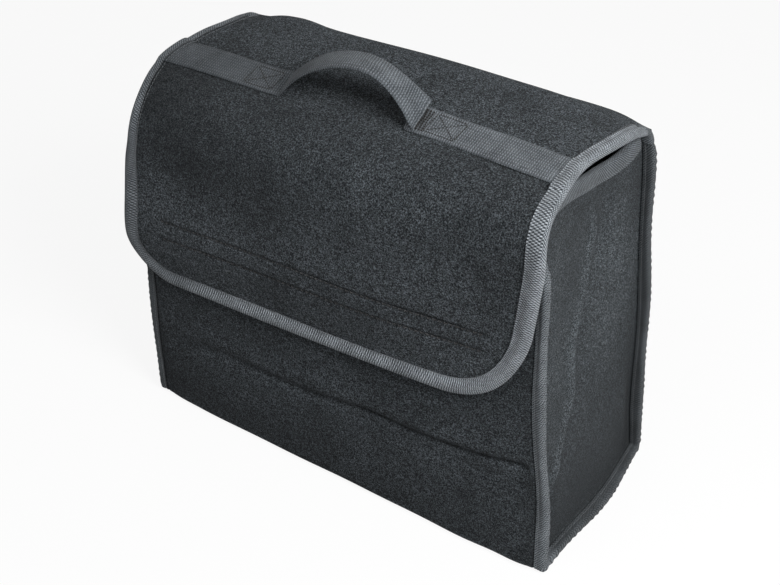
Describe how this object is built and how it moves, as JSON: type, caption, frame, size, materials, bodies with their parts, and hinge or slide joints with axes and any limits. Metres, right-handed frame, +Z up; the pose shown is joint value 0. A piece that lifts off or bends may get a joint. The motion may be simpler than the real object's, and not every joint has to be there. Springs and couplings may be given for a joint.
{
  "type": "car trunk organizer",
  "caption": "Free-standing car trunk organizer bag of dark felt with bound flanged side seams, an overlapping hinged lid and an arched webbing carrying handle.",
  "frame": {"origin": "centre of the base, on the underside the bag stands on", "axes": "+X along the front to the bag's right-hand side as seen from the front, +Y from the front panel to the back panel, +Z up"},
  "size_m": [0.3998, 0.1791, 0.3654],
  "materials": {
    "felt": "matte needled felt, dark charcoal with grey flecks",
    "binding_tape": "matte grey woven polyester binding tape",
    "webbing": "matte grey cross-ribbed polypropylene webbing",
    "hook_tape": "black nylon hook tape"
  },
  "bodies": {
    "bag": {"main_panel": "felt", "gusset_left": "felt", "gusset_right": "felt", "gusset_left_top_binding": "binding_tape", "gusset_right_top_binding": "binding_tape", "front_top_binding": "binding_tape", "seam_binding_left": "binding_tape", "seam_binding_right": "binding_tape", "back_hook_strip_lower": "hook_tape", "back_hook_strip_upper": "hook_tape"},
    "lid": {"lid_panel": "felt", "lid_binding": "binding_tape", "lid_hook_strip": "hook_tape", "carry_strap": "webbing"}
  },
  "joints": [
    {"name": "lid_hinge", "type": "hinge", "parent": "bag", "child": "lid", "pos_m": [0, 0.0792, 0.316], "axis": [-1, 0, 0], "range_deg": [0, 170]}
  ]
}
